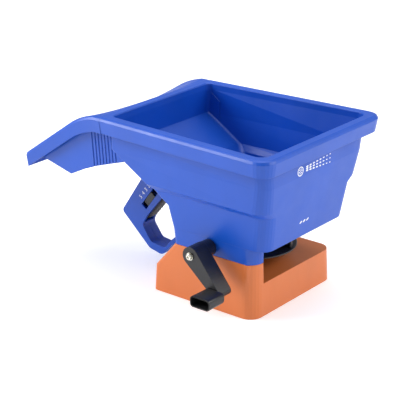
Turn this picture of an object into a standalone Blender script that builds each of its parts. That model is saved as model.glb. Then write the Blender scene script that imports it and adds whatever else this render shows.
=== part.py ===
"""Hand-crank garden spreader: hopper with arm rest, pistol grip, crank, bevel gears and spinner disc.

All sizes are millimetres in the shaft frame: X towards the discharge side, Y away from the crank,
Z up, with the upright disc shaft on X = Y = 0 and the floor at Z = 0.
"""

from math import atan2, cos, pi, radians, sin, sqrt, tan

import bmesh
import bpy
from mathutils import Vector

MM = 0.001
GAP = 0.3  # between pieces that touch
WALL = 2.5  # moulded walls of the hopper and the base

# Neck: the joint between base and hopper, which the other outlines are stepped from
SEAM = 65.0
NECK_REAR = -55.0
NECK_FRONT = 59.2
NECK_HALF = 78.1

# Base
BASE_REAR = NECK_REAR - 29.6
BASE_FRONT = NECK_FRONT + 2.2
BASE_HALF = NECK_HALF + 2.4
BASE_CORNER = 16.0
BASE_REAR_CORNER = 5.0
REAR_DRAFT = 1.4
CHAMFER_FOOT = SEAM - 33.1
DECK_TOP = SEAM - 25.2
DECK_UNDER = DECK_TOP - WALL
COLUMN_END = 18.7 - NECK_HALF  # Y where the front column stops and the discharge opening starts
OPENING_REAR = -10.0  # X where the far side of the discharge opening starts
BOSS_R = 5.5
BOSS_IN = 5.5  # from the neck's outside to a screw boss's middle
BOSS_BACK = 11.2
SCREW_SEAT = SEAM - 9.0

# Hopper
SKIRT = SEAM + 20.5
SKIRT_OUT = 2.1
SKIRT_BACK = 0.9
BOX_TOP = SEAM + 47.0
LEDGE_LOW = SEAM + 62.8
LEDGE_HIGH = SEAM + 70.0
SLOPE_TOP = SEAM + 101.0
RIM_TOP = SEAM + 140.7
BAND = 19.5
FLOOR_TOP = SEAM + 32.5
FLOOR_UNDER = FLOOR_TOP - WALL
SLOPE_REAR = NECK_REAR - 84.8
RIM_REAR = SLOPE_REAR + WALL + 0.5
RIM_FRONT = NECK_FRONT + 27.8
RIM_HALF_REAR = NECK_HALF + 12.0
RIM_HALF_FRONT = NECK_HALF + 23.3
RIM_WIDTH = 14.5
BAND_DRAFT = 2.6
OUTLET_X0 = 20.0
OUTLET_X1 = 36.0
OUTLET_HALF = 14.0

# Arm rest
REST_START = RIM_REAR - 6.7
REST_LONG = 127.0
REST_TIP = REST_START - REST_LONG
RIM_TAPER = (RIM_HALF_FRONT - RIM_HALF_REAR) / (RIM_FRONT - RIM_REAR + 2 * RIM_WIDTH)
HUMP = 1.8
ARC_START = REST_START + 9.5
ARC_RADIUS = 108.0
REST_SLOPE = radians(34.5)
CRADLE = 8.0
WEB_HALF = NECK_HALF + 13.4
GROOVES = 8
GROOVE_PITCH = 5.05
GROOVE_DEPTH = 0.9

# Drive
SHAFT_R = 2.0
CRANK_Z = SEAM + 11.0
BORE_GAP = 0.3
BUSH_WALL = 2.2
GEAR_TEETH = 30
PINION_TEETH = 10
GEAR_R = 14.0
GEAR_FACE = 4.0
TOOTH = 0.7
DISC_R = 52.5
DISC_Z = SEAM - 9.5
DISC_THICK = 2.0
FIN_R = 49.0
FIN_TOP = SEAM + 1.0
FINS = 6
DECK_BOSS_TOP = DECK_TOP + 5.2
DECK_BOSS_FOOT = DECK_UNDER - 2.5
SHAFT_FOOT = DECK_BOSS_FOOT - 5.0

# Crank
WALL_Y = -NECK_HALF - 1.8
FACE_Y = WALL_Y - 36.5
ARM_DEPTH = 21.0
HUB_R = 10.8
HUB_END_R = 9.8
ARM_REACH = 51.7
ARM_ANGLE = radians(-46.0)
ARM_END_R = 5.6
KNOB_WIDE = 27.0
KNOB_HIGH = 13.2
KNOB_LONG = 28.5
KNOB_WALL = 1.8

# Grip
GRIP_HALF = 11.5
GRIP_WALL = 2.2
TRIGGER_HALF = 7.5
TRIGGER_PIVOT = (-161.0, 50.1)
TRIGGER_LEAN = radians(40.0)  # of the pad, from the upright
MOUNT_Z = CRANK_Z
MOUNT_Y = 6.5
SLOT_LONG = 54.5
SLOT_HALF = 4.4
BLOCK_FOOT = 8.6
BLOCK_LONG = 15.5

# Gate
GATE_THICK = 2.0
GATE_Z = FLOOR_UNDER - GAP - GATE_THICK
GATE_X0 = 16.5
GATE_X1 = 40.0
GATE_HALF = 17.0
TAIL_HALF = 8.0
TAIL_LONG = 39.5
RAIL_X0 = 1.5
RAIL_X1 = 42.0
ROD_Z = GATE_Z + 0.9
ROD_R = 1.5

# The frame's origin is the middle of the bounding box's foot
FRONT_X = RIM_FRONT + RIM_WIDTH
KNOB_Y = FACE_Y - GAP - KNOB_LONG
FAR_Y = RIM_HALF_FRONT + RIM_WIDTH
CENTRE = ((REST_TIP + FRONT_X) / 2, (KNOB_Y + FAR_Y) / 2)

COLOURS = {
    "blue": ((0.055, 0.12, 0.62), 0.38, 0.0),
    "orange": ((0.80, 0.21, 0.055), 0.42, 0.0),
    "black": ((0.012, 0.012, 0.014), 0.42, 0.0),
    "grey": ((0.055, 0.057, 0.062), 0.55, 0.0),
    "nylon": ((0.72, 0.70, 0.64), 0.45, 0.0),
    "zinc": ((0.62, 0.60, 0.55), 0.28, 1.0),
    "steel": ((0.48, 0.48, 0.50), 0.30, 1.0),
    "felt": ((0.30, 0.29, 0.27), 0.95, 0.0),
}


# ---------------------------------------------------------------- mesh helpers

def material(colour):
    found = bpy.data.materials.get(colour)
    if found:
        return found
    made = bpy.data.materials.new(colour)
    made.use_nodes = True
    base, rough, metal = COLOURS[colour]
    shader = made.node_tree.nodes["Principled BSDF"]
    shader.inputs["Base Color"].default_value = (*base, 1.0)
    shader.inputs["Roughness"].default_value = rough
    shader.inputs["Metallic"].default_value = metal
    made.diffuse_color = (*base, 1.0)
    return made


def solid(points, faces):
    """A loose object from points in mm and faces, its normals facing out."""
    mesh = bpy.data.meshes.new("solid")
    mesh.from_pydata([Vector(p) * MM for p in points], [], faces)
    tidy = bmesh.new()
    tidy.from_mesh(mesh)
    bmesh.ops.recalc_face_normals(tidy, faces=tidy.faces)
    tidy.to_mesh(mesh)
    tidy.free()
    made = bpy.data.objects.new("solid", mesh)
    bpy.context.scene.collection.objects.link(made)
    return made


def loft(rings, closed=False):
    """Rings with equal counts joined in order; the ends are capped, or joined to each other."""
    count = len(rings[0])
    points = [p for ring in rings for p in ring]
    faces = []
    for k in range(len(rings) if closed else len(rings) - 1):
        a = k * count
        b = (k + 1) % len(rings) * count
        for i in range(count):
            j = (i + 1) % count
            faces.append((a + i, a + j, b + j, b + i))
    if not closed:
        faces.append(tuple(range(count)))
        faces.append(tuple(range(len(points) - count, len(points))))
    return solid(points, faces)


def plan(z, rear, front, half_rear, half_front, r_rear, r_front, steps=6):
    """A level ring: a rounded trapezoid from rear to front."""
    corners = (
        (rear + r_rear, r_rear - half_rear, r_rear, 180),
        (front - r_front, r_front - half_front, r_front, 270),
        (front - r_front, half_front - r_front, r_front, 0),
        (rear + r_rear, half_rear - r_rear, r_rear, 90),
    )
    ring = []
    for x, y, r, start in corners:
        for i in range(steps + 1):
            turn = radians(start + 90 * i / steps)
            ring.append((x + r * cos(turn), y + r * sin(turn), z))
    return ring


def revolve(profile, axis="Z", at=(0, 0, 0), segments=32, tube=True):
    """(radius, height) points turned about an axis: a tube where they close, or a bar with ends on it."""
    rings = []
    for radius, height in profile:
        ring = []
        for i in range(segments):
            turn = 2 * pi * i / segments
            u = radius * cos(turn)
            v = radius * sin(turn)
            spot = (u, v, height) if axis == "Z" else (u, height, v)
            if axis == "X":
                spot = (height, u, v)
            ring.append(tuple(a + b for a, b in zip(spot, at)))
        rings.append(ring)
    return loft(rings, closed=tube)


def bar(radius, low, high, axis="Z", at=(0, 0, 0), segments=32, chamfer=0.0):
    profile = [(radius, low), (radius, high)]
    if chamfer:
        profile = [(radius - chamfer, low), (radius, low + chamfer)]
        profile += [(radius, high - chamfer), (radius - chamfer, high)]
    return revolve(profile, axis, at, segments, tube=False)


def sleeve(inner, outer, low, high, axis="Z", at=(0, 0, 0), segments=32):
    return revolve([(inner, low), (outer, low), (outer, high), (inner, high)], axis, at, segments)


def box(x0, x1, y0, y1, z0, z1):
    points = [(x, y, z) for z in (z0, z1) for x, y in ((x0, y0), (x1, y0), (x1, y1), (x0, y1))]
    return loft([points[:4], points[4:]])


def prism(outline, y0, y1):
    """An (x, z) outline extruded along Y."""
    return loft([[(x, y0, z) for x, z in outline], [(x, y1, z) for x, z in outline]])


def rounded(corners, steps=5):
    """An outline with each (x, z, radius) corner replaced by an arc."""
    outline = []
    for k, (x, z, radius) in enumerate(corners):
        here = Vector((x, z))
        before = (Vector(corners[k - 1][:2]) - here).normalized()
        after = (Vector(corners[(k + 1) % len(corners)][:2]) - here).normalized()
        if radius <= 0:
            outline.append((x, z))
            continue
        half = before.angle(after) / 2
        middle = here + (before + after).normalized() * (radius / sin(half))
        start = here + before * (radius / tan(half)) - middle
        end = here + after * (radius / tan(half)) - middle
        a0 = atan2(start.y, start.x)
        sweep = (atan2(end.y, end.x) - a0 + pi) % (2 * pi) - pi
        for i in range(steps + 1):
            turn = a0 + sweep * i / steps
            outline.append((middle.x + radius * cos(turn), middle.y + radius * sin(turn)))
    return outline


def inset(outline, by):
    """The outline moved inwards by a distance, or outwards by a negative one."""
    area = sum(a[0] * b[1] - b[0] * a[1] for a, b in zip(outline, outline[1:] + outline[:1]))
    side = 1 if area > 0 else -1
    moved = []
    for k, here in enumerate(outline):
        before = Vector(here) - Vector(outline[k - 1])
        after = Vector(outline[(k + 1) % len(outline)]) - Vector(here)
        n0 = Vector((-before.y, before.x)).normalized() * side
        n1 = Vector((-after.y, after.x)).normalized() * side
        mid = (n0 + n1).normalized()
        spot = Vector(here) + mid * (by / max(mid.dot(n0), 0.4))
        moved.append((spot.x, spot.y))
    return moved


def combine(target, tools, operation):
    for tool in tools:
        step = target.modifiers.new("combine", "BOOLEAN")
        step.object = tool
        step.operation = operation
        step.solver = "EXACT"
        graph = bpy.context.evaluated_depsgraph_get()
        mesh = bpy.data.meshes.new_from_object(target.evaluated_get(graph))
        target.modifiers.clear()
        target.data = mesh
        bpy.data.objects.remove(tool)
    return target


def cut(target, *tools):
    return combine(target, tools, "DIFFERENCE")


def join(target, *tools):
    return combine(target, tools, "UNION")


def finish(name, made, colour, pivot=(0, 0, 0)):
    """Names a loose solid, puts its origin on the pivot and parents it to the frame."""
    spot = Vector(pivot) * MM
    for vertex in made.data.vertices:
        vertex.co -= spot
    made.name = name
    made.data.name = name
    made.data.materials.clear()
    made.data.materials.append(material(colour))
    made.parent = bpy.data.objects["spreader"]
    made.location = spot
    return made


# ---------------------------------------------------------------- hopper

def level(z, back, ahead, out_rear, out_front, r_rear, r_front):
    """A level ring of the hopper, stepped out from the neck."""
    rear = NECK_REAR - back
    front = NECK_FRONT + ahead
    return plan(z, rear, front, NECK_HALF + out_rear, NECK_HALF + out_front, r_rear, r_front)


def hopper_shell():
    """The open box, its rolled rim and its funnel: one closed tube of level rings."""
    out = RIM_WIDTH
    skirt = (SKIRT_BACK, 16.4, SKIRT_OUT, SKIRT_OUT)

    def rim(z, grow, corner):
        half_rear = RIM_HALF_REAR + grow
        return plan(z, RIM_REAR - grow, RIM_FRONT + grow, half_rear, RIM_HALF_FRONT + grow, 7, corner)

    rings = [
        plan(FLOOR_TOP, OUTLET_X0, OUTLET_X1, OUTLET_HALF, OUTLET_HALF, 2, 2),
        level(FLOOR_TOP, -21.0, -5.2, -24.5, -24.5, 8, 10),
        level(BOX_TOP + 4.5, 4.0, 18.3, 2.5, 2.5, 6, 14),
        level(LEDGE_LOW + 2, 24.5, 20.6, 4.4, 4.4, 6, 14),
        level(LEDGE_HIGH + 2, 32.5, 21.7, 10.3, 12.9, 5, 14),
        level(SLOPE_TOP + 2, 82.3, 26.7, 11.6, 16.9, 5, 13),
        rim(RIM_TOP - 8, -0.4, 12),
        rim(RIM_TOP - 1, 0, 11),
        rim(RIM_TOP, 1.2, 12),
        rim(RIM_TOP, out - 4.5, 15),
        rim(RIM_TOP - 1.1, out - 1.6, 17),
        rim(RIM_TOP - 4, out, 18),
        rim(RIM_TOP - BAND, out - BAND_DRAFT, 16),
        rim(RIM_TOP - BAND, out - BAND_DRAFT - WALL, 14),
        rim(RIM_TOP - 3.4, out - 5.4, 13),
        rim(RIM_TOP - 3.4, 2.6, 13),
        level(RIM_TOP - BAND, 84.9, 29.7, 14.3, 21.9, 6, 14),
        level(SLOPE_TOP, 84.8, 29.2, 14.1, 19.5, 6, 15),
        level(LEDGE_HIGH, 34.1, 24.1, 12.8, 15.5, 5, 16),
        level(LEDGE_LOW, 26.0, 22.9, 6.9, 6.9, 5, 16),
        level(BOX_TOP, 6.7, 20.5, 5.0, 5.0, 5, 16),
        level(SKIRT, *skirt, 5, 16),
        level(SKIRT, *[step - WALL for step in skirt], 4, 14),
        level(BOX_TOP - 1, 2.6, 16.8, 0.9, 0.9, 4, 13),
        level(FLOOR_UNDER, -22.5, -6.7, -26.0, -26.0, 8, 9),
        plan(FLOOR_UNDER, OUTLET_X0, OUTLET_X1, OUTLET_HALF, OUTLET_HALF, 2, 2),
    ]
    return loft(rings, closed=True)


def neck():
    """The wall under the skirt that stands on the base: crank side, rear and far rear corner."""
    top = FLOOR_UNDER - 1
    lift = (top - SEAM) / (SKIRT - SEAM)

    def wall(z, share, by):
        rear = NECK_REAR - share * SKIRT_BACK + by + 0.15
        half = NECK_HALF + share * SKIRT_OUT - by - 0.15
        return plan(z, rear, NECK_FRONT + 0.6 * share - by, half, half, 5 - by / 2, 15 - by)

    shell = loft([wall(SEAM + GAP, 0, 0), wall(top, lift, 0)])
    hollow = loft([wall(SEAM - 1, 0, WALL), wall(top + 1, lift, WALL)])
    opening = box(OPENING_REAR, 90, COLUMN_END, NECK_HALF + 20, SEAM - 2, top + 2)
    return cut(shell, hollow, opening)


def rest_line(x):
    """Height of the arm rest's ridge: a low hump, an arc, then a straight fall."""
    top = RIM_TOP + HUMP * min(1, max(0, (REST_START - x) / 12))
    arc = ARC_RADIUS * sin(REST_SLOPE)
    run = max(0, ARC_START - x)
    if run <= arc:
        return top - ARC_RADIUS + sqrt(ARC_RADIUS**2 - run**2)
    return top - ARC_RADIUS * (1 - cos(REST_SLOPE)) - (run - arc) * tan(REST_SLOPE)


def rest_half(x):
    """Half the arm rest's width, which carries on the rim's taper."""
    return RIM_HALF_REAR + RIM_WIDTH + (x - RIM_REAR + RIM_WIDTH) * RIM_TAPER


def rest_section(x, half, drop, foot):
    """One cross-section of the arm rest: cradled top and rounded shoulders, down to a level foot."""
    steps = 14
    top = rest_line(x) - drop
    dip = CRADLE * min(1, max(0, (REST_START - x) / 28))
    side = [(half - BAND_DRAFT, foot), (half, top - 4), (half - 1.6, top - 1.1)]
    ring = [(x, -y, z) for y, z in side]
    for i in range(steps + 1):
        across = -1 + 2 * i / steps
        ring.append((x, across * (half - 4.5), top - dip * (1 - across**2)))
    return ring + [(x, y, z) for y, z in reversed(side)]


def arm_rest():
    """The down-turned shell behind the rim."""
    stations = [REST_START - 4 * i for i in range(19)]
    stations += [REST_TIP + 36, REST_TIP + 18, REST_TIP]

    def foot(x):
        return rest_line(x) - BAND

    outer = loft([rest_section(x, rest_half(x), 0, foot(x)) for x in stations])
    inside = [REST_START + 3, *stations[:-1], REST_TIP + WALL]
    hollow = loft([rest_section(x, rest_half(x) - WALL, WALL, foot(x) - 30) for x in inside])
    return cut(outer, hollow)


def side_web(side):
    """A web under the arm rest, following it down from the hopper's side, with finger grooves."""
    lower = [(-119, 154), (-139.3, 147.4), (-161.6, 139.9), (-179.6, 132.7), (-203, 121.1)]
    lower += [(-245, 131.6), (-251, 134)]
    upper = [(x, rest_line(x) - 4) for x in (-250, -232, -214, -196, -178, -160, -142)]
    upper.append((-119, 184))
    web = prism(lower + upper, side * (WEB_HALF - WALL), side * WEB_HALF)
    grooves = []
    for i in range(GROOVES):
        x = -168 + i * GROOVE_PITCH
        lean = 4.5
        shape = [(x - 0.9, 186), (x + 0.9, 186), (x + lean + 0.9, 130), (x + lean - 0.9, 130)]
        grooves.append(prism(shape, side * (WEB_HALF - GROOVE_DEPTH), side * (WEB_HALF + 2)))
    return cut(web, *grooves)


def build_hopper():
    shell = hopper_shell()
    join(shell, neck(), arm_rest(), side_web(-1), side_web(1))
    for x, y in base_screw_places():
        join(shell, bar(BOSS_R, SEAM + GAP, FLOOR_TOP + 3.5, at=(x, y, 0), segments=20))
    join(shell, bar(8, FLOOR_TOP - 1, FLOOR_TOP + 6.5, segments=24))
    bush = shaft_bore() + BUSH_WALL + GAP
    cut(shell, bar(bush, FLOOR_UNDER - 2, FLOOR_TOP + 8, segments=24))
    cut(shell, bar(bush, WALL_Y - 2, WALL_Y + 8, "Y", (0, 0, CRANK_Z), 24))
    for x, y in base_screw_places():
        cut(shell, bar(1.8, SEAM - 1, SEAM + 18, at=(x, y, 0), segments=12))
    for x, y in rail_screw_places() + bracket_screw_places():
        cut(shell, bar(1.5, FLOOR_UNDER - 1, FLOOR_TOP - 0.6, at=(x, y, 0), segments=12))
    for y in (-MOUNT_Y, MOUNT_Y):
        cut(shell, bar(1.5, NECK_REAR - 5, NECK_REAR + 5, "X", (0, y, MOUNT_Z), 12))
    cut(shell, box(NECK_REAR - 12, NECK_REAR + 8, -2.4, 2.4, ROD_Z - 2.4, ROD_Z + 2.4))
    finish("hopper", shell, "blue")


# ---------------------------------------------------------------- base

def base_ring(z, by=0.0):
    """A level section of the base's envelope, moved inwards by a wall."""
    share = z / SEAM
    half = BASE_HALF + share * (NECK_HALF - BASE_HALF) - by
    front = BASE_FRONT + share * (NECK_FRONT - BASE_FRONT) - by
    if z <= CHAMFER_FOOT:
        rear = BASE_REAR + REAR_DRAFT * z / CHAMFER_FOOT + by
    else:
        rise = (z - CHAMFER_FOOT) / (SEAM - CHAMFER_FOOT)
        rear = BASE_REAR + REAR_DRAFT + rise * (NECK_REAR - BASE_REAR - REAR_DRAFT) + by * 1.35
    return plan(z, rear, front, half, half, BASE_REAR_CORNER - by / 2, BASE_CORNER - by)


def base_screw_places():
    """Where the base is screwed to the hopper: the three corners that have a wall."""
    rear = NECK_REAR + BOSS_BACK + 2
    half = NECK_HALF - BOSS_IN
    return [(NECK_FRONT - BOSS_BACK, -half), (rear, -half), (rear, half)]


def build_base():
    body = loft([base_ring(0), base_ring(CHAMFER_FOOT), base_ring(SEAM)])
    middle = base_ring(CHAMFER_FOOT - 0.5, WALL)
    below = loft([base_ring(-1, WALL), middle, base_ring(DECK_UNDER, WALL)])
    above = loft([base_ring(DECK_TOP, WALL), base_ring(SEAM + 1, WALL)])
    opening = box(OPENING_REAR, 90, COLUMN_END, NECK_HALF + 20, DECK_TOP, SEAM + 2)
    cut(body, below, above, opening)
    for x, y in base_screw_places():
        join(body, bar(BOSS_R, DECK_UNDER - 1, SEAM, at=(x, y, 0), segments=20))
        cut(body, bar(1.8, DECK_UNDER - 3, SEAM + 1, at=(x, y, 0), segments=12))
        cut(body, bar(3.6, DECK_UNDER - 3, SCREW_SEAT, at=(x, y, 0), segments=16))
    join(body, bar(8.5, DECK_BOSS_FOOT, DECK_BOSS_TOP, segments=24))
    bush = shaft_bore() + BUSH_WALL + GAP
    cut(body, bar(bush, DECK_BOSS_FOOT - 3, DECK_BOSS_TOP + 1, segments=24))
    for angle, reach in ((0, 60), (90, 80), (180, 60), (270, 80)):
        rib = box(8.2, reach - 2.5, -1, 1, DECK_UNDER - 8, DECK_UNDER + 0.5)
        rib.rotation_euler.z = radians(angle)
        join(body, rib)
    finish("base_housing", body, "orange")


# ---------------------------------------------------------------- drive

def shaft_bore():
    return SHAFT_R + BORE_GAP


def bevel_gear(teeth, radius, face, cone, hub_r, hub_long, start):
    """A straight bevel gear about Z, its pitch circle at height 0 and its small end above."""
    phases = (0.0, 0.50, 0.62, 0.88)
    heights = (-TOOTH, -TOOTH, TOOTH * 0.8, TOOTH * 0.8)
    profile = []
    for share in (1.0, 1 - face * sin(cone) / radius):
        ring = []
        for k in range(teeth):
            for phase, depth in zip(phases, heights):
                turn = 2 * pi * (k + phase + start) / teeth
                r = radius * share + depth * share * cos(cone)
                z = radius * (1 - share) / tan(cone) + depth * share * sin(cone)
                ring.append((r * cos(turn), r * sin(turn), z))
        profile.append(ring)
    back = [(x * 0.97, y * 0.97, z - 1.6) for x, y, z in profile[0]]
    gear = loft([back, profile[0], profile[1]])
    hub = bar(hub_r, -hub_long, 0.2, segments=24)
    return join(gear, hub)


def build_drive():
    cone = atan2(GEAR_TEETH, PINION_TEETH)
    pinion_r = GEAR_R * PINION_TEETH / GEAR_TEETH
    bore = shaft_bore()

    gear = bevel_gear(GEAR_TEETH, GEAR_R, GEAR_FACE, cone, 5.5, 9, 0.25)
    cut(gear, bar(bore, -20, 20))
    turn_about_y(gear, pinion_r)
    finish("drive_bevel_gear", gear, "nylon", (0, 0, CRANK_Z))

    pinion = bevel_gear(PINION_TEETH, pinion_r, GEAR_FACE, pi / 2 - cone, 3.8, 1.9, -0.25)
    cut(pinion, bar(bore, -20, 20, segments=20))
    for vertex in pinion.data.vertices:
        vertex.co.z += (CRANK_Z - GEAR_R) * MM
    finish("bevel_pinion", pinion, "nylon")

    crank_shaft = bar(SHAFT_R, FACE_Y + 5, -pinion_r - 1.5, "Y", (0, 0, CRANK_Z), chamfer=0.5)
    finish("crank_shaft", crank_shaft, "steel", (0, 0, CRANK_Z))
    finish("disc_shaft", bar(SHAFT_R, SHAFT_FOOT, FLOOR_TOP + 17.5, chamfer=0.5), "steel")

    wall_bush = revolve(
        [
            (bore, WALL_Y - 1.6),
            (bore + BUSH_WALL + 2, WALL_Y - 1.6),
            (bore + BUSH_WALL + 2, WALL_Y - GAP),
            (bore + BUSH_WALL, WALL_Y - GAP),
            (bore + BUSH_WALL, WALL_Y + 8),
            (bore, WALL_Y + 8),
        ],
        "Y",
        (0, 0, CRANK_Z),
    )
    finish("crank_wall_bush", wall_bush, "black")
    build_bracket()
    finish("gear_collar", sleeve(bore, 5.0, -22.5, -15.2, "Y", (0, 0, CRANK_Z)), "steel")

    flange = bore + BUSH_WALL + 2.4
    deck_bush = revolve(
        [
            (bore, DECK_BOSS_FOOT + GAP),
            (bore + BUSH_WALL, DECK_BOSS_FOOT + GAP),
            (bore + BUSH_WALL, DECK_BOSS_TOP + GAP),
            (flange, DECK_BOSS_TOP + GAP),
            (flange, DECK_BOSS_TOP + 1.8),
            (bore, DECK_BOSS_TOP + 1.8),
        ]
    )
    finish("disc_lower_bush", deck_bush, "nylon")
    top = FLOOR_TOP + 6.5
    floor_bush = revolve(
        [
            (bore, FLOOR_UNDER),
            (bore + BUSH_WALL, FLOOR_UNDER),
            (bore + BUSH_WALL, top + GAP),
            (flange, top + GAP),
            (flange, top + 1.6),
            (bore, top + 1.6),
        ]
    )
    finish("disc_upper_bush", floor_bush, "nylon")
    finish("shaft_felt_seal", sleeve(bore, flange, top + 1.9, top + 3.9), "felt")
    finish("thrust_washer", sleeve(bore, 7.0, DECK_BOSS_FOOT - 1.8, DECK_BOSS_FOOT - 0.8), "steel")
    low = DECK_BOSS_FOOT - 3.4
    clip = sleeve(SHAFT_R + 0.15, 4.8, low, low + 1.3)
    cut(clip, box(0, 9, -1.2, 1.2, low - 1, low + 2))
    finish("shaft_clip", clip, "steel")
    build_agitator(top + 4.2)


def turn_about_y(made, pinion_r):
    """Stands a gear built about Z on the crank's axis, its small end towards the upright shaft."""
    for vertex in made.data.vertices:
        x, y, z = vertex.co
        vertex.co = Vector((x, z - pinion_r * MM, -y + CRANK_Z * MM))


def bracket_screw_places():
    return [(-14.0, -30.0), (14.0, -30.0)]


def build_bracket():
    """The hanger under the hopper's floor that holds the crank shaft's inner end."""
    top = FLOOR_UNDER - GAP
    body = box(-7.5, 7.5, -35, -25, CRANK_Z, top)
    foot = box(-18.5, 18.5, -34, -26, top - 3, top + 0.001)
    join(body, bar(7.5, -35, -25, "Y", (0, 0, CRANK_Z)), foot)
    cut(body, bar(shaft_bore(), -40, -20, "Y", (0, 0, CRANK_Z)))
    for x, y in bracket_screw_places():
        cut(body, bar(1.5, top - 5, top + 1, at=(x, y, 0), segments=12))
    finish("shaft_bracket", body, "black")
    for name, (x, y) in zip(("bracket_screw_rear", "bracket_screw_front"), bracket_screw_places()):
        finish(name, screw_up(top - 3, 4.9), "zinc")
        bpy.data.objects[name].location = Vector((x, y, 0)) * MM


def screw_up(seat, reach, head=2.6, shank=1.2):
    """A pan-head screw about Z, its head under the seat."""
    profile = [(head - 0.6, seat - 1.9), (head, seat - 1.4), (head, seat - GAP)]
    profile += [(shank, seat - GAP), (shank, seat + reach - 1), (shank * 0.4, seat + reach)]
    return revolve(profile, segments=12, tube=False)


def build_agitator(foot):
    body = bar(5.5, foot, foot + 6, segments=20)
    for k in range(3):
        turn = 2 * pi * k / 3
        reach = ((4, 3), (15, 5), (26, -1.5), (27.5, -1.5), (16, 8), (4, 5.5))
        arm = prism([(x, foot + z) for x, z in reach], -1.3, 1.3)
        arm.rotation_euler.z = turn
        join(body, arm)
    cut(body, bar(shaft_bore(), foot - 1, foot + 9, segments=20))
    finish("agitator", body, "black")


def build_disc():
    """The spinner disc: plate, hub and fins, swept back a little."""
    body = bar(DISC_R, DISC_Z, DISC_Z + DISC_THICK, segments=64, chamfer=0.5)
    join(body, bar(8, DECK_BOSS_TOP + 2.2, DISC_Z + 3.4, segments=32))
    for k in range(FINS):
        turn = 2 * pi * (k + 0.3) / FINS
        low = DISC_Z + 1
        fin = prism([(23, low), (FIN_R, low), (FIN_R, FIN_TOP), (28, FIN_TOP)], -1.1, 1.1)
        join(fin, box(FIN_R - 2, FIN_R, -6, 1, low, FIN_TOP))
        fin.rotation_euler.z = turn
        join(body, fin)
    cut(body, bar(shaft_bore(), DECK_TOP, DISC_Z + 10, segments=32))
    finish("spinner_disc", body, "black")


# ---------------------------------------------------------------- crank

def knob_centre():
    return ARM_REACH * cos(ARM_ANGLE), CRANK_Z + ARM_REACH * sin(ARM_ANGLE)


def build_crank():
    knob_x, knob_z = knob_centre()
    steps = 12
    outline = []
    lean = atan2(HUB_R - ARM_END_R, ARM_REACH)
    for i in range(steps + 1):
        turn = ARM_ANGLE + pi / 2 - lean + (pi + 2 * lean) * i / steps
        outline.append((HUB_R * cos(turn), CRANK_Z + HUB_R * sin(turn)))
    for i in range(steps + 1):
        turn = ARM_ANGLE - pi / 2 + lean + (pi - 2 * lean) * i / steps
        outline.append((knob_x + ARM_END_R * cos(turn), knob_z + ARM_END_R * sin(turn)))
    arm = prism(outline, FACE_Y, FACE_Y + ARM_DEPTH)
    hub = revolve([(HUB_END_R, WALL_Y - 2), (HUB_R - 0.1, FACE_Y + 4)], "Y", (0, 0, CRANK_Z), 32, False)
    join(arm, hub)
    hollow = inset(outline, 2.2)
    back = FACE_Y + ARM_DEPTH
    cut(arm, prism(keep_end(hollow, HUB_R + 4), FACE_Y + 3, back + 1))
    join(arm, bar(4.4, FACE_Y + 1, back - 1, "Y", (knob_x, 0, knob_z), 20))
    cut(arm, bar(shaft_bore(), FACE_Y + 4, WALL_Y, "Y", (0, 0, CRANK_Z), 24))
    cut(arm, bar(1.9, FACE_Y - 1, FACE_Y + 6, "Y", (0, 0, CRANK_Z), 16))
    cut(arm, bar(2.3, FACE_Y - 1, FACE_Y + 14, "Y", (knob_x, 0, knob_z), 16))
    finish("crank_arm", arm, "black", (0, 0, CRANK_Z))

    washer = sleeve(1.9, 4.6, FACE_Y - 1.1, FACE_Y - GAP, "Y", (0, 0, CRANK_Z))
    finish("crank_washer", washer, "zinc", (0, 0, CRANK_Z))
    head = FACE_Y - 1.4
    profile = [(1.6, head - 2.6), (3.1, head - 2.1), (3.8, head - 1.2), (3.8, head)]
    profile += [(1.5, head), (1.5, FACE_Y + 4.6)]
    screw = revolve(profile, "Y", (0, 0, CRANK_Z), 24, False)
    cut(screw, box(-0.45, 0.45, head - 4, head - 1.5, CRANK_Z - 2, CRANK_Z + 2))
    cut(screw, box(-2, 2, head - 4, head - 1.5, CRANK_Z - 0.45, CRANK_Z + 0.45))
    finish("crank_screw", screw, "zinc", (0, 0, CRANK_Z))
    build_knob(knob_x, knob_z)


def keep_end(outline, distance):
    """The part of an arm outline farther than a distance from the hub, closed straight across."""
    along = Vector((cos(ARM_ANGLE), sin(ARM_ANGLE)))
    kept = []
    for x, z in outline:
        ahead = Vector((x, z - CRANK_Z)).dot(along)
        if ahead > distance:
            kept.append((x, z))
    side = Vector((-along.y, along.x))
    near = along * distance
    half = HUB_R - 3.4
    kept.append((near.x + side.x * half, CRANK_Z + near.y + side.y * half))
    kept.append((near.x - side.x * half, CRANK_Z + near.y - side.y * half))
    return sorted_about(kept)


def sorted_about(points):
    x = sum(p[0] for p in points) / len(points)
    z = sum(p[1] for p in points) / len(points)
    return sorted(points, key=lambda p: atan2(p[1] - z, p[0] - x))


def build_knob(x, z):
    wide = KNOB_WIDE / 2
    high = KNOB_HIGH / 2
    inner_y = FACE_Y - GAP
    outer_y = KNOB_Y

    def section(by, y):
        corner = 4.2 - by * 0.8
        ends = ((-1, -1), (1, -1), (1, 1), (-1, 1))
        edge = [(x + a * (wide - by), z + b * (high - by), corner) for a, b in ends]
        return [(u, y, v) for u, v in rounded(edge)]

    rings = [
        section(0.9, inner_y),
        section(0.4, inner_y - 0.8),
        section(0, outer_y + 0.6),
        section(0.5, outer_y),
        section(KNOB_WALL - 0.3, outer_y),
        section(KNOB_WALL + 0.2, inner_y - 3.5),
    ]
    knob = loft(rings)
    cut(knob, bar(2.3, inner_y - 8, inner_y + 2, "Y", (x, 0, z), 16))
    finish("crank_knob", knob, "black", (x, 0, z))
    seat = inner_y - 3.5
    profile = [(2.4, seat - 2.2), (3.9, seat - 1.4), (3.9, seat - GAP)]
    profile += [(2.0, seat - GAP), (2.0, FACE_Y + 13.5)]
    pin = revolve(profile, "Y", (x, 0, z), 24, False)
    finish("knob_pin", pin, "steel", (x, 0, z))


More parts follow.
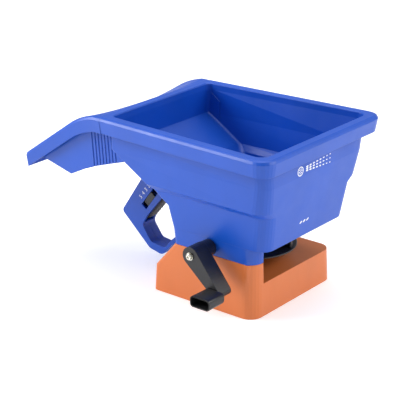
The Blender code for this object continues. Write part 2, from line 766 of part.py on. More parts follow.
# ---------------------------------------------------------------- gate

def rail_screw_places():
    y = GATE_HALF + GAP + 2.6
    return [(x, side * y) for side in (-1, 1) for x in (6.0, 38.0)]


def build_gate():
    low = GATE_Z
    high = GATE_Z + GATE_THICK
    plate = box(GATE_X0, GATE_X1, -GATE_HALF, GATE_HALF, low, high)
    tail = -TAIL_LONG
    join(plate, box(tail + 1, GATE_X0 + 1, -TAIL_HALF, TAIL_HALF, low + 0.001, high - 0.001))
    cut(plate, box(-4, GATE_X0 - 0.5, -SHAFT_R - 1.8, SHAFT_R + 1.8, low - 1, high + 1))
    join(plate, box(tail, tail + 6.5, -4.2, 4.2, ROD_Z - 3.2, high - 0.002))
    cut(plate, bar(ROD_R + 0.2, tail - 2, tail + 5, "X", (0, 0, ROD_Z), 16))
    finish("gate_plate", plate, "grey")

    y0 = GATE_HALF + GAP
    for side, name in ((-1, "crank_side"), (1, "far_side")):
        top = FLOOR_UNDER - GAP
        rail = box(RAIL_X0, RAIL_X1, side * y0, side * (y0 + 5.2), GATE_Z - 2.6, top)
        lip = box(RAIL_X0, RAIL_X1, side * (y0 - 3), side * (y0 + 1), GATE_Z - 2.6, GATE_Z - GAP)
        join(rail, lip)
        spots = [p for p in rail_screw_places() if p[1] * side > 0]
        for x, y in spots:
            cut(rail, bar(1.5, GATE_Z - 4, top + 1, at=(x, y, 0), segments=12))
        finish("gate_rail_" + name, rail, "black")
        for (x, y), end in zip(spots, ("rear", "front")):
            screw = screw_up(GATE_Z - 2.6, 6.6, 2.4, 1.2)
            finish("rail_screw_" + name + "_" + end, screw, "zinc")
            screw.location = Vector((x, y, 0)) * MM


def build_rod():
    """The pull rod between the trigger's slot and the gate's tail, with a cross pin at its rear end."""
    rear = rod_rear()
    rod = bar(ROD_R, rear, 4.4 - TAIL_LONG, "X", (0, 0, ROD_Z), 16)
    join(rod, bar(ROD_R - 0.001, -5.2, 5.2, "Y", (rear + 1.2, 0, ROD_Z), 16))
    finish("gate_pull_rod", rod, "steel")


def rod_rear():
    """X of the rod's rear end, just behind its cross pin on the trigger's centre line."""
    return TRIGGER_PIVOT[0] + (ROD_Z - TRIGGER_PIVOT[1]) * tan(TRIGGER_LEAN) - 1.2


# ---------------------------------------------------------------- grip

def trigger_spot(along, across):
    """A point on the trigger: along it from its pivot, and across towards the fingers."""
    x, z = TRIGGER_PIVOT
    lean = TRIGGER_LEAN
    return x + along * sin(lean) + across * cos(lean), z + along * cos(lean) - across * sin(lean)


def slope_line(x):
    """Height of the hopper's sloping underside behind the box."""
    run = NECK_REAR - 34.1 - x
    return LEDGE_HIGH + run * (SLOPE_TOP - LEDGE_HIGH) / (84.8 - 34.1)


def grip_outline():
    clear = 0.9
    return rounded(
        [
            (-161.9, 101.4, 30),
            (-126.0, slope_line(-126.0) - clear - 1.0, 0),
            (NECK_REAR - 34.1, LEDGE_HIGH - clear, 0),
            (NECK_REAR - 26.0, LEDGE_LOW - clear - 0.2, 0),
            (NECK_REAR - 7.5, BOX_TOP - clear, 0),
            (NECK_REAR - SKIRT_BACK - GAP, SKIRT, 0),
            (NECK_REAR - GAP, SEAM + 3.5, 0),
            (-62.5, SEAM + 3.0, 3),
            (-115.6, 24.0, 10),
            (-129.1, 8.4, 9),
            (-149.6, 12.8, 9),
            (-194.2, 52.8, 5),
        ]
    )


def grip_opening():
    return rounded(
        [
            (-153.8, 54.4, 6),
            (-128.5, 84.6, 5),
            (-77.0, 84.6, 6),
            (-68.0, 75.5, 5),
            (-115.1, 31.6, 8),
            (-125.0, 18.9, 8),
            (-147.5, 21.6, 8),
            (-161.4, 41.1, 7),
        ]
    )


def along_bar(distance, across):
    """A point on the grip's upper bar: up its slant from the slot's foot, and across to the rear."""
    slant = Vector((0.60, 0.80))
    normal = Vector((-0.80, 0.60))
    spot = Vector((-158.3, 65.6)) + slant * distance + normal * across
    return spot.x, spot.y


def slot_outline(low, high, half):
    corners = ((low, -half), (high, -half), (high, half), (low, half))
    return [along_bar(distance, across) for distance, across in corners]


def grip_half(side):
    """One half shell: walls round the loop, open on the split plane."""
    outer = side * GRIP_HALF
    inner = side * GAP / 2
    shell = cut(prism(grip_outline(), inner, outer), prism(grip_opening(), side * -1, side * 20))
    room = cut(
        prism(inset(grip_outline(), GRIP_WALL), side * -1, side * (GRIP_HALF - GRIP_WALL)),
        prism(inset(grip_opening(), -GRIP_WALL), side * -2, side * 20),
    )
    cut(shell, room)
    cut(shell, prism(trigger_slot(), side * -1, side * (TRIGGER_HALF + 0.5)))
    seat = NECK_REAR - GAP
    join(shell, box(seat - 9, seat - 0.6, side * 3, side * 10.5, MOUNT_Z - 4, MOUNT_Z + 4))
    cut(shell, bar(1.5, seat - 7.5, seat + 5, "X", (0, side * MOUNT_Y, MOUNT_Z), 12))
    cut(shell, box(-68, -50, side * -1, side * 2.6, ROD_Z - 2.6, ROD_Z + 2.6))
    return shell


def trigger_slot():
    """The mouth in the bar's inner wall that the trigger works in."""
    corners = ((-4.4, -2.0), (-4.4, 8), (47, 8), (54, 5.6), (54, -2.0))
    return [trigger_spot(along, across) for along, across in corners]


def build_grip():
    near = grip_half(-1)
    cut(near, prism(slot_outline(0, SLOT_LONG, SLOT_HALF), -GRIP_HALF - 5, 4 - GRIP_HALF))
    for side, shell in ((-1, near), (1, grip_half(1))):
        for x, z in grip_screw_places():
            low, high = sorted((side * GAP / 2, side * (GRIP_HALF - 1)))
            join(shell, bar(3.4, low, high, "Y", (x, 0, z), 16))
            low, high = sorted((side * -1, side * (GRIP_HALF + (1 if side > 0 else -2.5))))
            cut(shell, bar(1.5, low, high, "Y", (x, 0, z), 12))
            if side > 0:
                cut(shell, bar(3.0, GRIP_HALF - 2.7, GRIP_HALF + 1, "Y", (x, 0, z), 16))
        x, z = TRIGGER_PIVOT
        low, high = sorted((side * -1, side * (GRIP_HALF - 1.3)))
        cut(shell, bar(1.8, low, high, "Y", (x, 0, z), 16))
        name = "grip_shell_crank_side" if side < 0 else "grip_shell_far_side"
        finish(name, shell, "blue")
    seat = GRIP_HALF - 2.4
    profile = [(1.2, 3.5 - GRIP_HALF), (1.2, seat), (2.7, seat), (2.7, seat + 1.3), (2.0, seat + 1.9)]
    for k, (x, z) in enumerate(grip_screw_places()):
        screw = revolve(profile, "Y", (x, 0, z), 12, False)
        finish("grip_screw_" + str(k + 1), screw, "zinc")
    seat = NECK_REAR + WALL + GAP + 0.3
    profile = [(1.2, seat - 9), (1.2, seat), (2.7, seat), (2.7, seat + 1.3), (2.0, seat + 1.9)]
    for side, name in ((-1, "crank_side"), (1, "far_side")):
        screw = revolve(profile, "X", (0, side * MOUNT_Y, MOUNT_Z), 12, False)
        finish("grip_mount_screw_" + name, screw, "zinc")


def grip_screw_places():
    return [(-179.0, 54.0), (-136.0, 128.0), (-84.0, 108.0), (-131.0, 14.5)]


def build_trigger():
    x, z = TRIGGER_PIVOT
    spot = trigger_spot
    outline = [spot(-3.4, -2.4), spot(-3.4, 1.4), spot(1.5, 3.2), spot(3.5, 4.0)]
    for k in range(9):
        at = 5 + k * 4.6
        outline += [spot(at, 4.2), spot(at + 0.9, 5.2), spot(at + 2.8, 5.2), spot(at + 3.7, 4.2)]
    top = (ROD_Z - z) / cos(TRIGGER_LEAN) + 9.0
    outline += [spot(47.5, 3.2), spot(top, 3.2), spot(top, -4.2), spot(3, -4.2)]
    body = prism(outline, -TRIGGER_HALF, TRIGGER_HALF)
    cut(body, bar(1.8, -20, 20, "Y", (x, 0, z), 20))
    front = 2.4
    channel = [spot(-9, 9), spot(-9, -9), spot(top + 5, -9), spot(top + 5, 9)]
    channel += [spot(45.6, 9), spot(45.6, front), spot(4.4, front), spot(4.4, 9)]
    cut(body, prism(channel, -4.2, 4.2))
    middle = (ROD_Z - z) / cos(TRIGGER_LEAN)
    ends = ((-9.4, -2.3), (2.5, -2.3), (2.5, 2.3), (-9.4, 2.3))
    cut(body, prism([spot(middle + along, across) for along, across in ends], -20, 20))
    finish("trigger", body, "grey", (x, 0, z))
    finish("trigger_pin", bar(1.5, -9.8, 9.8, "Y", (x, 0, z), 20, 0.3), "steel")
    build_spring(x, z)


def build_spring(x, z):
    """The torsion spring on the trigger's pin: its coil, a leg on the shell and a leg in the trigger."""
    wire = 0.45
    coil_r = 2.25
    turns = 4
    per_turn = 12
    last = turns * per_turn
    route = [Vector((x - 13, -3.4, z + 5)), Vector((x - 4, -3.4, z + coil_r))]
    for i in range(last + 1):
        turn = pi / 2 - 2 * pi * i / per_turn
        spot = (x + coil_r * cos(turn), -3.4 + 6.6 * i / last, z + coil_r * sin(turn))
        route.append(Vector(spot))
    route.append(Vector((x + 3.4, 3.2, z + coil_r + 1.6)))
    rings = []
    for k, here in enumerate(route):
        ahead = (route[min(k + 1, len(route) - 1)] - route[max(k - 1, 0)]).normalized()
        side = ahead.cross(Vector((0, 1, 0.02))).normalized()
        up = side.cross(ahead)
        angles = [2 * pi * i / 5 for i in range(5)]
        rings.append([tuple(here + (side * cos(a) + up * sin(a)) * wire) for a in angles])
    finish("trigger_spring", loft(rings), "steel")


def build_limiter():
    """The flow limiter: a block in the side slot, with a pointer on its lower end."""
    half = SLOT_HALF - 0.4
    low = BLOCK_FOOT
    high = BLOCK_FOOT + BLOCK_LONG
    face = 0.4 - GRIP_HALF
    back = GRIP_WALL + GAP - GRIP_HALF
    block = prism(slot_outline(low, high, half), face, back + 0.5)
    join(block, prism(slot_outline(low + 1, high - 1, half + 1.6), back, back + 1))
    finish("flow_limiter", block, "grey")
    mark = prism(slot_outline(low - 2.4, low - GAP, half), face, back + 0.8)
    finish("limiter_pointer", mark, "nylon")


def build_base_screws():
    names = ("base_screw_crank_front", "base_screw_crank_rear", "base_screw_far_rear")
    for name, (x, y) in zip(names, base_screw_places()):
        finish(name, screw_up(SCREW_SEAT, 24, 3.2, 1.5), "zinc")
        bpy.data.objects[name].location = Vector((x, y, 0)) * MM


def main():
    for old in list(bpy.data.objects):
        bpy.data.objects.remove(old)
    frame = bpy.data.objects.new("spreader", None)
    frame.location = (-CENTRE[0] * MM, -CENTRE[1] * MM, 0)
    bpy.context.scene.collection.objects.link(frame)
    build_hopper()
    build_base()
    build_drive()
    build_disc()
    build_crank()
    build_gate()
    build_rod()
    build_grip()
    build_trigger()
    build_limiter()
    build_base_screws()


main()
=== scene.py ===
"""Hand-crank garden spreader: finishes, markings, screws, studio and camera round the frame."""

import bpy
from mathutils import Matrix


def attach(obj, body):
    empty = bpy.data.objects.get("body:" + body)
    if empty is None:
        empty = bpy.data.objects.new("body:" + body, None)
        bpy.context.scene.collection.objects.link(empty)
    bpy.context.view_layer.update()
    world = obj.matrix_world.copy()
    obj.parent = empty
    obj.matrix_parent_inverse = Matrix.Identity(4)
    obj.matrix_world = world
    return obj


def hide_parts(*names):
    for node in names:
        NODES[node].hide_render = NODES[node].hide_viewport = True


bl_info = {
    "name": "Garden spreader finishes",
    "version": (1, 0, 0),
    "blender": (4, 5, 0),
    "location": "View3D > Sidebar > Spreader",
    "description": "Plastics, metals, markings and studio for a hand-crank garden spreader",
    "category": "Object",
}

from math import cos, pi, radians, sin

import bpy
from mathutils import Matrix, Vector

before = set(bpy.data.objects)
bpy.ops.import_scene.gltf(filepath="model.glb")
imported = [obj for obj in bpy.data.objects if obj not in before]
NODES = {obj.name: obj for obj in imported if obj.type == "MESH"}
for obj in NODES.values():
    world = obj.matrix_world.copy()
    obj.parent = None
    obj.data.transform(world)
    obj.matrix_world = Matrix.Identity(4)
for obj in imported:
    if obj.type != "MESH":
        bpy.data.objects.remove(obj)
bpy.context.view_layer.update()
MM = 0.001
GRIP_FACE_Y = 3.15 * MM

BLUE_NODES = ("hopper", "grip_shell_crank_side", "grip_shell_far_side")
ORANGE_NODES = ("base_housing",)
BLACK_NODES = (
    "crank_arm",
    "crank_knob",
    "spinner_disc",
    "agitator",
    "crank_wall_bush",
    "shaft_bracket",
    "gate_rail_crank_side",
    "gate_rail_far_side",
)
GREY_NODES = ("trigger", "flow_limiter", "gate_plate")
ACETAL_NODES = ("drive_bevel_gear", "bevel_pinion", "disc_lower_bush", "disc_upper_bush")
STEEL_NODES = (
    "crank_shaft",
    "disc_shaft",
    "gear_collar",
    "gate_pull_rod",
    "trigger_pin",
    "trigger_spring",
    "knob_pin",
    "thrust_washer",
    "shaft_clip",
)
ZINC_NODES = ("crank_screw", "crank_washer")


# ---------------------------------------------------------------- settings


class SpreaderColours(bpy.types.PropertyGroup):
    """The mouldings' colours, as a maker would choose masterbatches"""

    blue: bpy.props.FloatVectorProperty(
        name="Hopper blue",
        description="Colour of the hopper, arm rest and grip",
        subtype="COLOR",
        size=3,
        min=0,
        max=1,
        default=(0.003, 0.070, 0.46),
    )
    orange: bpy.props.FloatVectorProperty(
        name="Base orange",
        description="Colour of the base housing",
        subtype="COLOR",
        size=3,
        min=0,
        max=1,
        default=(0.64, 0.165, 0.040),
    )
    black: bpy.props.FloatVectorProperty(
        name="Crank black",
        description="Colour of the crank, knob, disc and brackets",
        subtype="COLOR",
        size=3,
        min=0,
        max=1,
        default=(0.010, 0.010, 0.012),
    )
    grey: bpy.props.FloatVectorProperty(
        name="Trigger grey",
        description="Colour of the trigger, gate and flow limiter",
        subtype="COLOR",
        size=3,
        min=0,
        max=1,
        default=(0.030, 0.031, 0.034),
    )
    marking: bpy.props.FloatVectorProperty(
        name="Marking white",
        description="Colour of the printed scale and granule mark",
        subtype="COLOR",
        size=3,
        min=0,
        max=1,
        default=(0.86, 0.88, 0.92),
    )


class SpreaderSizes(bpy.types.PropertyGroup):
    """Sizes of what is added round the frame"""

    edge_radius: bpy.props.FloatProperty(
        name="Moulded edge radius",
        description="Rounding that the finishes show at moulded edges",
        unit="LENGTH",
        min=0,
        default=0.9 * MM,
    )
    digit_height: bpy.props.FloatProperty(
        name="Scale digit height",
        description="Height of the digits beside the flow limiter",
        unit="LENGTH",
        min=0,
        default=5.2 * MM,
    )
    print_thick: bpy.props.FloatProperty(
        name="Print thickness",
        description="How far the markings stand off the plastic",
        unit="LENGTH",
        min=0,
        default=0.12 * MM,
    )


# ---------------------------------------------------------------- materials


def fresh_material(name):
    made = bpy.data.materials.new(name)
    made.use_nodes = True
    tree = made.node_tree
    shader = tree.nodes["Principled BSDF"]
    return made, tree, shader


def node(tree, kind, **inputs):
    """A new node with its named inputs set."""
    made = tree.nodes.new(kind)
    for key, value in inputs.items():
        made.inputs[key.replace("_", " ")].default_value = value
    return made


def object_noise(tree, scale, detail=3.0, roughness=0.5, stretch=None):
    """Noise on the object's own coordinates, in metres."""
    place = tree.nodes.new("ShaderNodeTexCoord")
    source = place.outputs["Object"]
    if stretch:
        mapping = node(tree, "ShaderNodeMapping", Scale=stretch)
        tree.links.new(source, mapping.inputs["Vector"])
        source = mapping.outputs["Vector"]
    noise = node(tree, "ShaderNodeTexNoise", Scale=scale, Detail=detail, Roughness=roughness)
    tree.links.new(source, noise.inputs["Vector"])
    return noise.outputs["Fac"]


def spread(tree, source, low, high, start=0.0, end=1.0):
    """The source's range mapped to low..high."""
    made = node(
        tree,
        "ShaderNodeMapRange",
        From_Min=start,
        From_Max=end,
        To_Min=low,
        To_Max=high,
    )
    tree.links.new(source, made.inputs["Value"])
    return made.outputs["Result"]


def tinted(tree, source, colour, darker, lighter):
    """A colour ramp between two shades of one colour."""
    ramp = tree.nodes.new("ShaderNodeValToRGB")
    ramp.color_ramp.elements[0].position = 0.3
    ramp.color_ramp.elements[1].position = 0.7
    ramp.color_ramp.elements[0].color = (*[c * darker for c in colour], 1)
    ramp.color_ramp.elements[1].color = (*[min(1, c * lighter) for c in colour], 1)
    tree.links.new(source, ramp.inputs["Fac"])
    return ramp.outputs["Color"]


def bump(tree, height, distance, strength, below=None):
    made = node(tree, "ShaderNodeBump", Strength=strength, Distance=distance)
    tree.links.new(height, made.inputs["Height"])
    if below is not None:
        tree.links.new(below, made.inputs["Normal"])
    return made.outputs["Normal"]


def moulded(name, colour, rough, grain, radius, ior=1.49, scuff=0.04):
    """Moulded plastic: faint flow marks, a fine grain, light scuffs and softened edges."""
    made, tree, shader = fresh_material(name)
    shader.inputs["IOR"].default_value = ior
    flow = object_noise(tree, 14.0, 4.0, 0.55, stretch=(1.0, 1.0, 0.35))
    tree.links.new(tinted(tree, flow, colour, 0.93, 1.06), shader.inputs["Base Color"])

    patches = object_noise(tree, 42.0, 5.0, 0.6)
    scratches = object_noise(tree, 160.0, 6.0, 0.7, stretch=(1.0, 6.0, 1.0))
    wear = spread(tree, scratches, 0.0, scuff, 0.55, 0.75)
    base = spread(tree, patches, rough - 0.03, rough + 0.05, 0.35, 0.65)
    total = tree.nodes.new("ShaderNodeMath")
    total.operation = "ADD"
    tree.links.new(base, total.inputs[0])
    tree.links.new(wear, total.inputs[1])
    tree.links.new(total.outputs["Value"], shader.inputs["Roughness"])

    edge = node(tree, "ShaderNodeBevel", Radius=radius)
    edge.samples = 6
    sink = bump(tree, object_noise(tree, 22.0, 2.0), 0.25 * MM, 0.35, edge.outputs["Normal"])
    fine = bump(tree, object_noise(tree, 1500.0, 2.0), grain, 0.35, sink)
    tree.links.new(fine, shader.inputs["Normal"])
    return made


def metal(name, colour, rough, brushed):
    """Bright metal with drawn or turned lines and small tarnish patches."""
    made, tree, shader = fresh_material(name)
    shader.inputs["Metallic"].default_value = 1.0
    tarnish = object_noise(tree, 240.0, 5.0, 0.6)
    tree.links.new(tinted(tree, tarnish, colour, 0.82, 1.08), shader.inputs["Base Color"])
    lines = object_noise(tree, 1200.0, 3.0, 0.5, stretch=brushed)
    tree.links.new(spread(tree, lines, rough - 0.06, rough + 0.12), shader.inputs["Roughness"])
    edge = node(tree, "ShaderNodeBevel", Radius=0.2 * MM)
    edge.samples = 6
    drawn = bump(tree, lines, 0.02 * MM, 0.3, edge.outputs["Normal"])
    tree.links.new(drawn, shader.inputs["Normal"])
    return made


def felt(name, colour):
    made, tree, shader = fresh_material(name)
    fibres = object_noise(tree, 900.0, 8.0, 0.8)
    tree.links.new(tinted(tree, fibres, colour, 0.6, 1.3), shader.inputs["Base Color"])
    shader.inputs["Roughness"].default_value = 0.95
    shader.inputs["Sheen Weight"].default_value = 0.4
    tree.links.new(bump(tree, fibres, 0.3 * MM, 0.8), shader.inputs["Normal"])
    return made


def printed(name, colour):
    """Pad-printed ink: slightly glossy, with tiny thin spots."""
    made, tree, shader = fresh_material(name)
    spots = object_noise(tree, 2200.0, 3.0)
    tree.links.new(tinted(tree, spots, colour, 0.9, 1.0), shader.inputs["Base Color"])
    tree.links.new(spread(tree, spots, 0.3, 0.5), shader.inputs["Roughness"])
    return made


FINISHES = {}


def dress(obj, finish):
    """Gives an object one finish in place of whatever it has."""
    obj.data.materials.clear()
    obj.data.materials.append(FINISHES[finish])


# ---------------------------------------------------------------- mesh helpers


def deselect():
    if bpy.context.object and bpy.context.object.mode != "OBJECT":
        bpy.ops.object.mode_set(mode="OBJECT")
    bpy.ops.object.select_all(action="DESELECT")


def only(obj):
    """Makes one object the selected and active one."""
    deselect()
    obj.select_set(True)
    bpy.context.view_layer.objects.active = obj


def settle(obj, name, finish, body):
    """Applies a piece's place to its mesh, then names it, dresses it and puts it on its body."""
    only(obj)
    bpy.ops.object.transform_apply(location=True, rotation=True, scale=True)
    obj.name = name
    obj.data.name = name
    dress(obj, finish)
    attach(obj, body)
    return obj


def upward(origin, right, up):
    """A matrix that puts local X along right, local Y along up and local Z off the surface."""
    x = Vector(right).normalized()
    z = x.cross(Vector(up)).normalized()
    y = z.cross(x)
    turn = Matrix((x, y, z)).transposed().to_4x4()
    return Matrix.Translation(Vector(origin)) @ turn


# ---------------------------------------------------------------- moulded edges

# Millimetres of rounding where the edges leave room for it
EDGE_RADII = {"crank_knob": 0.6}
SMOOTH_ANGLE = radians(32)
BEVEL_ANGLE = radians(24)


def soften(part, radius):
    """Evens a part's shading, and bevels its edges where a radius is given."""
    only(part)
    bpy.ops.object.shade_smooth_by_angle(angle=SMOOTH_ANGLE)
    if radius:
        weld = part.modifiers.new("welded", "WELD")
        weld.merge_threshold = 0.01 * MM
        rounded = part.modifiers.new("rounded", "BEVEL")
        rounded.width = radius
        rounded.segments = 3
        rounded.limit_method = "ANGLE"
        rounded.angle_limit = BEVEL_ANGLE
        rounded.use_clamp_overlap = False
        rounded.loop_slide = False
        rounded.harden_normals = True
    elif part.name not in BLUE_NODES:
        weighted = part.modifiers.new("even_shading", "WEIGHTED_NORMAL")
        weighted.keep_sharp = True


# ---------------------------------------------------------------- markings and fasteners

SLANT = Vector((0.6, 0, 0.8))
ACROSS = Vector((-0.8, 0, 0.6))
SLOT_ORIGIN = Vector((-73.8, 0, 65.6)) * MM
DIGIT_PITCH = 7.16 * MM
FIRST_DIGIT_ALONG = 6.7 * MM
DIGITS_ACROSS = 10.9 * MM
TEXT_SIZE_PER_HEIGHT = 1.38
PROJECT_FROM_X = 190 * MM  # ahead of the hopper, so that a mark is laid on its front


def digit(label, along, across, height, thick):
    """One raised scale digit on the grip's crank side, made from text."""
    deselect()
    bpy.ops.object.text_add()
    text = bpy.context.object
    text.data.body = label
    text.data.align_x = "CENTER"
    text.data.align_y = "CENTER"
    text.data.size = height * TEXT_SIZE_PER_HEIGHT
    text.data.extrude = thick / 2
    text.data.resolution_u = 6
    bpy.ops.object.convert(target="MESH")
    made = bpy.context.object
    spot = SLOT_ORIGIN + SLANT * along + ACROSS * across
    spot.y = GRIP_FACE_Y - thick / 2
    made.matrix_world = upward(spot, SLANT, ACROSS)
    return settle(made, f"scale_digit_{label}", "marking", "frame")


def flat_ring(outer, inner, turns=40):
    """A flat ring about the origin, in its own XY plane."""
    deselect()
    bpy.ops.mesh.primitive_circle_add(vertices=turns, radius=outer, fill_type="NGON")
    ring = bpy.context.object
    bpy.ops.object.mode_set(mode="EDIT")
    bpy.ops.mesh.select_all(action="SELECT")
    bpy.ops.mesh.inset(thickness=outer - inner)
    bpy.ops.mesh.delete(type="FACE")
    bpy.ops.object.mode_set(mode="OBJECT")
    return ring


def seed(length, width, spot, turn):
    """A flat rounded grain, longer than wide, lying in the XY plane."""
    deselect()
    bpy.ops.mesh.primitive_circle_add(vertices=20, radius=1, fill_type="NGON")
    grain = bpy.context.object
    grain.scale = (length / 2, width / 2, 1)
    grain.rotation_euler.z = turn
    grain.location = (*spot, 0)
    only(grain)
    bpy.ops.object.transform_apply(location=True, rotation=True, scale=True)
    return grain


def front_spot(y, z):
    """A point ahead of the hopper, from its Y and Z in millimetres."""
    return Vector((PROJECT_FROM_X, y * MM, z * MM))


def printed_on_front(pieces, name, origin, thick):
    """Joins flat shapes, lays them on the hopper's front and gives them the print's thickness."""
    deselect()
    for piece in pieces:
        piece.select_set(True)
    bpy.context.view_layer.objects.active = pieces[0]
    bpy.ops.object.join()
    mark = bpy.context.object
    bpy.ops.object.mode_set(mode="EDIT")
    bpy.ops.mesh.select_all(action="SELECT")
    bpy.ops.mesh.quads_convert_to_tris()
    bpy.ops.mesh.subdivide(number_cuts=2)
    bpy.ops.object.mode_set(mode="OBJECT")
    mark.matrix_world = upward(origin, (0, 1, 0), (0, 0, 1))
    only(mark)
    bpy.ops.object.transform_apply(location=True, rotation=True, scale=True)
    lay = mark.modifiers.new("lay", "SHRINKWRAP")
    lay.target = NODES["hopper"]
    lay.wrap_method = "PROJECT"
    lay.use_project_x = True
    lay.use_positive_direction = False
    lay.use_negative_direction = True
    lay.offset = 0.02 * MM
    ink = mark.modifiers.new("ink", "SOLIDIFY")
    ink.thickness = thick
    ink.offset = 1
    for step in ("lay", "ink"):
        bpy.ops.object.modifier_apply(modifier=step)
    return settle(mark, name, "marking", "frame")


class SPREADER_OT_markings(bpy.types.Operator):
    """Adds the flow scale's digits and the printed granule marks"""

    bl_idname = "spreader.markings"
    bl_label = "Markings"

    def execute(self, context):
        sizes = context.scene.spreader_sizes
        thick = sizes.print_thick
        for step, label in enumerate("54321"):
            along = FIRST_DIGIT_ALONG + step * DIGIT_PITCH
            digit(label, along, DIGITS_ACROSS, sizes.digit_height, thick)

        badge = [flat_ring(5.6 * MM, 4.5 * MM)]
        for step in range(6):
            angle = step * pi / 3 + 0.26
            spot = (2.6 * MM * cos(angle), 2.6 * MM * sin(angle))
            badge.append(seed(2.5 * MM, 1.25 * MM, spot, angle))
        badge.append(seed(1.2 * MM, 1.2 * MM, (0, 0), 0))
        printed_on_front(badge, "granule_badge", front_spot(-19.2, 172.7), thick)

        spray = []
        for row in range(3):
            for column in range(8):
                reach = column / 7
                spot = ((3.0 + 45.0 * reach) * MM, (row - 1) * (2.3 + 2.6 * reach) * MM)
                size = 4.6 - 2.0 * reach
                spray.append(seed(size * MM, 0.46 * size * MM, spot, 0.06 * (row - 1)))
        printed_on_front(spray, "granule_spray", front_spot(-9.5, 172.9), thick)

        grains = [seed(4.8 * MM, 2.3 * MM, (place * MM, 0), 0.5) for place in (-6.5, 0, 6.5)]
        printed_on_front(grains, "small_grain_mark", front_spot(5.2, 105.0), thick)
        return {"FINISHED"}


def revolved(profile, turns):
    """A closed solid made by spinning a radius and height profile about Z."""
    deselect()
    mesh = bpy.data.meshes.new("profile")
    steps = [(k, k + 1) for k in range(len(profile) - 1)]
    mesh.from_pydata([(r, 0, z) for r, z in profile], steps, [])
    made = bpy.data.objects.new("profile", mesh)
    bpy.context.scene.collection.objects.link(made)
    only(made)
    bpy.ops.object.mode_set(mode="EDIT")
    bpy.ops.mesh.select_all(action="SELECT")
    bpy.ops.mesh.spin(steps=turns, angle=2 * pi, center=(0, 0, 0), axis=(0, 0, 1))
    bpy.ops.mesh.select_all(action="SELECT")
    bpy.ops.mesh.remove_doubles(threshold=0.004 * MM)
    bpy.ops.mesh.normals_make_consistent(inside=False)
    bpy.ops.object.mode_set(mode="OBJECT")
    return made


def pan_screw(head, high, shank, length):
    """A cross-recess pan-head screw: head above the origin's seat, ringed shank below."""
    profile = [(0, high), (0.5 * head, high)]
    profile += [(0.74 * head, 0.94 * high), (0.9 * head, 0.76 * high)]
    profile += [(0.98 * head, 0.5 * high), (head, 0.2 * high), (head, 0), (shank, 0)]
    pitch = 0.5 * MM
    depth = -pitch
    while depth > 1.2 * MM - length:
        profile += [(0.8 * shank, depth), (shank, depth - 0.5 * pitch)]
        depth -= pitch
    profile += [(0.7 * shank, depth), (0, -length)]
    made = revolved(profile, 28)
    for turn in (0, pi / 2):
        deselect()
        bpy.ops.mesh.primitive_cube_add(size=1, location=(0, 0, high))
        cutter = bpy.context.object
        cutter.scale = (1.15 * head, 0.27 * head, 1.3 * high)
        cutter.rotation_euler.z = turn
        bpy.ops.object.transform_apply(location=True, rotation=True, scale=True)
        only(made)
        recess = made.modifiers.new("recess", "BOOLEAN")
        recess.operation = "DIFFERENCE"
        recess.solver = "EXACT"
        recess.object = cutter
        bpy.ops.object.modifier_apply(modifier="recess")
        bpy.data.objects.remove(cutter)
    return made


def fit_screw(name, outward, high, shank, body, turn):
    """Stands a detailed screw for a plain one, sized from its box; outward leaves its head."""
    plain_one = NODES[name]
    corners = [plain_one.matrix_world @ Vector(corner) for corner in plain_one.bound_box]
    low = Vector([min(c[k] for c in corners) for k in range(3)])
    top = Vector([max(c[k] for c in corners) for k in range(3)])
    outward = Vector(outward)
    middle = (low + top) / 2
    long_half = abs(outward.dot(top - low)) / 2
    head = min(top[k] - low[k] for k in range(3) if abs(outward[k]) < 0.5) / 2
    made = pan_screw(head - 0.02 * MM, high, shank, 2 * long_half - high - 0.02 * MM)
    seat = middle + outward * (long_half - high - 0.01 * MM)
    aim = outward.to_track_quat("Z", "Y").to_matrix().to_4x4()
    made.matrix_world = Matrix.Translation(seat) @ aim @ Matrix.Rotation(turn, 4, "Z")
    settle(made, "detailed_" + name, "zinc", body)
    bpy.ops.object.shade_smooth_by_angle(angle=radians(34))
    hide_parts(name)


# ---------------------------------------------------------------- operators


class SPREADER_OT_fasteners(bpy.types.Operator):
    """Puts detailed screws in the places of the frame's plain ones"""

    bl_idname = "spreader.fasteners"
    bl_label = "Fasteners"

    def execute(self, context):
        fit_screw("crank_screw", (0, -1, 0), 2.4 * MM, 1.3 * MM, "crank", 0.5)
        upright = [n for n in NODES if n.startswith(("base_screw", "bracket_screw", "rail_screw"))]
        for step, name in enumerate(sorted(upright)):
            shank = 1.4 if name.startswith("base") else 1.1
            fit_screw(name, (0, 0, -1), 1.6 * MM, shank * MM, "frame", 0.7 * step)
        for step in range(1, 5):
            fit_screw(f"grip_screw_{step}", (0, 1, 0), 1.6 * MM, 1.1 * MM, "frame", 0.6 * step)
        for side in ("crank_side", "far_side"):
            fit_screw(f"grip_mount_screw_{side}", (1, 0, 0), 1.6 * MM, 1.1 * MM, "frame", 0.3)
        return {"FINISHED"}


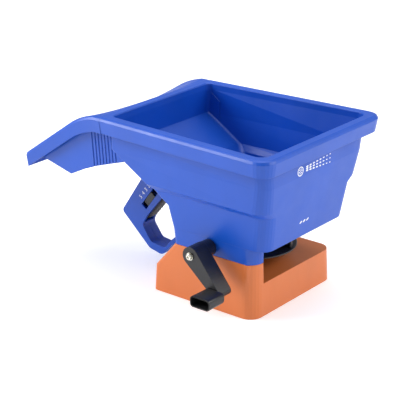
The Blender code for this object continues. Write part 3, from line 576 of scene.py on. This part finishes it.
class SPREADER_OT_finishes(bpy.types.Operator):
    """Makes the finishes and gives them to the frame's own parts"""

    bl_idname = "spreader.finishes"
    bl_label = "Finishes"

    def execute(self, context):
        colours = context.scene.spreader_colours
        radius = context.scene.spreader_sizes.edge_radius
        grain = 0.015 * MM
        FINISHES["blue"] = moulded("blue_polypropylene", colours.blue, 0.36, grain, radius)
        FINISHES["orange"] = moulded("orange_polypropylene", colours.orange, 0.40, grain, radius)
        FINISHES["black"] = moulded("black_nylon", colours.black, 0.34, 0.02 * MM, 0.6 * radius)
        FINISHES["grey"] = moulded("grey_acetal", colours.grey, 0.45, 0.03 * MM, 0.5 * radius)
        acetal = (0.70, 0.68, 0.62)
        FINISHES["nylon"] = moulded("natural_acetal", acetal, 0.38, 0.01 * MM, 0.2 * MM)
        FINISHES["zinc"] = metal("zinc_plate", (0.74, 0.72, 0.62), 0.22, (1.0, 1.0, 1.0))
        FINISHES["steel"] = metal("drawn_steel", (0.50, 0.50, 0.52), 0.28, (1.0, 0.05, 1.0))
        FINISHES["felt"] = felt("pressed_felt", (0.30, 0.29, 0.27))
        FINISHES["marking"] = printed("white_print", colours.marking)
        groups = {
            "blue": BLUE_NODES,
            "orange": ORANGE_NODES,
            "black": BLACK_NODES,
            "grey": (*GREY_NODES, "limiter_pointer"),
            "nylon": ACETAL_NODES,
            "steel": STEEL_NODES,
            "zinc": (*ZINC_NODES, *[n for n in NODES if "screw" in n and n != "crank_screw"]),
            "felt": ("shaft_felt_seal",),
        }
        for finish, names in groups.items():
            for name in names:
                dress(NODES[name], finish)
        for name, part in NODES.items():
            soften(part, EDGE_RADII.get(name, 0) * MM)
        return {"FINISHED"}


class SPREADER_OT_stage(bpy.types.Operator):
    """Floor, soft lights, world and camera"""

    bl_idname = "spreader.stage"
    bl_label = "Stage"

    def execute(self, context):
        deselect()
        bpy.ops.mesh.primitive_plane_add(size=12, location=(0, 0, -0.0004))
        floor = context.object
        floor.name = "studio_floor"
        made, _, shader = fresh_material("pale_floor")
        shader.inputs["Base Color"].default_value = (0.90, 0.90, 0.90, 1)
        shader.inputs["Roughness"].default_value = 0.9
        shader.inputs["Emission Color"].default_value = (1, 1, 1, 1)
        shader.inputs["Emission Strength"].default_value = 0.3
        floor.data.materials.append(made)

        world = bpy.data.worlds.new("studio")
        context.scene.world = world
        world.use_nodes = True
        backdrop = world.node_tree.nodes["Background"]
        backdrop.inputs["Color"].default_value = (1.0, 1.0, 1.0, 1)
        backdrop.inputs["Strength"].default_value = 0.42

        lights = (
            ("key", (-1.6, -1.2, 1.25), 1.1, 44.0),
            ("front", (1.9, 0.9, 1.3), 1.6, 30.0),
            ("top", (-0.2, 0.3, 2.6), 2.4, 40.0),
        )
        for name, spot, size, power in lights:
            data = bpy.data.lights.new(name, "AREA")
            data.shape = "SQUARE"
            data.size = size
            data.energy = power
            lamp = bpy.data.objects.new(name, data)
            lamp.location = spot
            away = Vector(spot) - Vector((0, 0, 0.1))
            lamp.rotation_euler = away.to_track_quat("Z", "Y").to_euler()
            context.scene.collection.objects.link(lamp)

        context.scene.view_settings.view_transform = "Standard"
        azimuth = radians(38.6)
        elevation = radians(20.8)
        level = cos(elevation)
        back = Vector((sin(azimuth) * level, -cos(azimuth) * level, sin(elevation)))
        data = bpy.data.cameras.new("studio_camera")
        data.sensor_width = 36
        data.lens = 124.4
        data.clip_start = 0.05
        camera = bpy.data.objects.new("studio_camera", data)
        camera.location = Vector((0.0225, -0.0065, 0.1)) + back * 1.6315
        camera.rotation_euler = back.to_track_quat("Z", "Y").to_euler()
        context.scene.collection.objects.link(camera)
        context.scene.camera = camera
        return {"FINISHED"}


class SPREADER_PT_panel(bpy.types.Panel):
    """Sizes, colours and the steps that make the spreader"""

    bl_label = "Garden spreader"
    bl_idname = "SPREADER_PT_panel"
    bl_space_type = "VIEW_3D"
    bl_region_type = "UI"
    bl_category = "Spreader"

    def draw(self, context):
        layout = self.layout
        for group in (context.scene.spreader_colours, context.scene.spreader_sizes):
            for key in group.bl_rna.properties.keys():
                if key not in ("rna_type", "name"):
                    layout.prop(group, key)
        for step in STEPS:
            layout.operator(step.bl_idname)


STEPS = (
    SPREADER_OT_finishes,
    SPREADER_OT_markings,
    SPREADER_OT_fasteners,
    SPREADER_OT_stage,
)
CLASSES = (SpreaderColours, SpreaderSizes, *STEPS, SPREADER_PT_panel)


def register():
    for each in CLASSES:
        bpy.utils.register_class(each)
    bpy.types.Scene.spreader_colours = bpy.props.PointerProperty(type=SpreaderColours)
    bpy.types.Scene.spreader_sizes = bpy.props.PointerProperty(type=SpreaderSizes)


def unregister():
    del bpy.types.Scene.spreader_sizes
    del bpy.types.Scene.spreader_colours
    for each in reversed(CLASSES):
        bpy.utils.unregister_class(each)


def main():
    register()
    for step in STEPS:
        family, action = step.bl_idname.split(".")
        getattr(getattr(bpy.ops, family), action)()
    deselect()


if __name__ == "__main__":
    main()
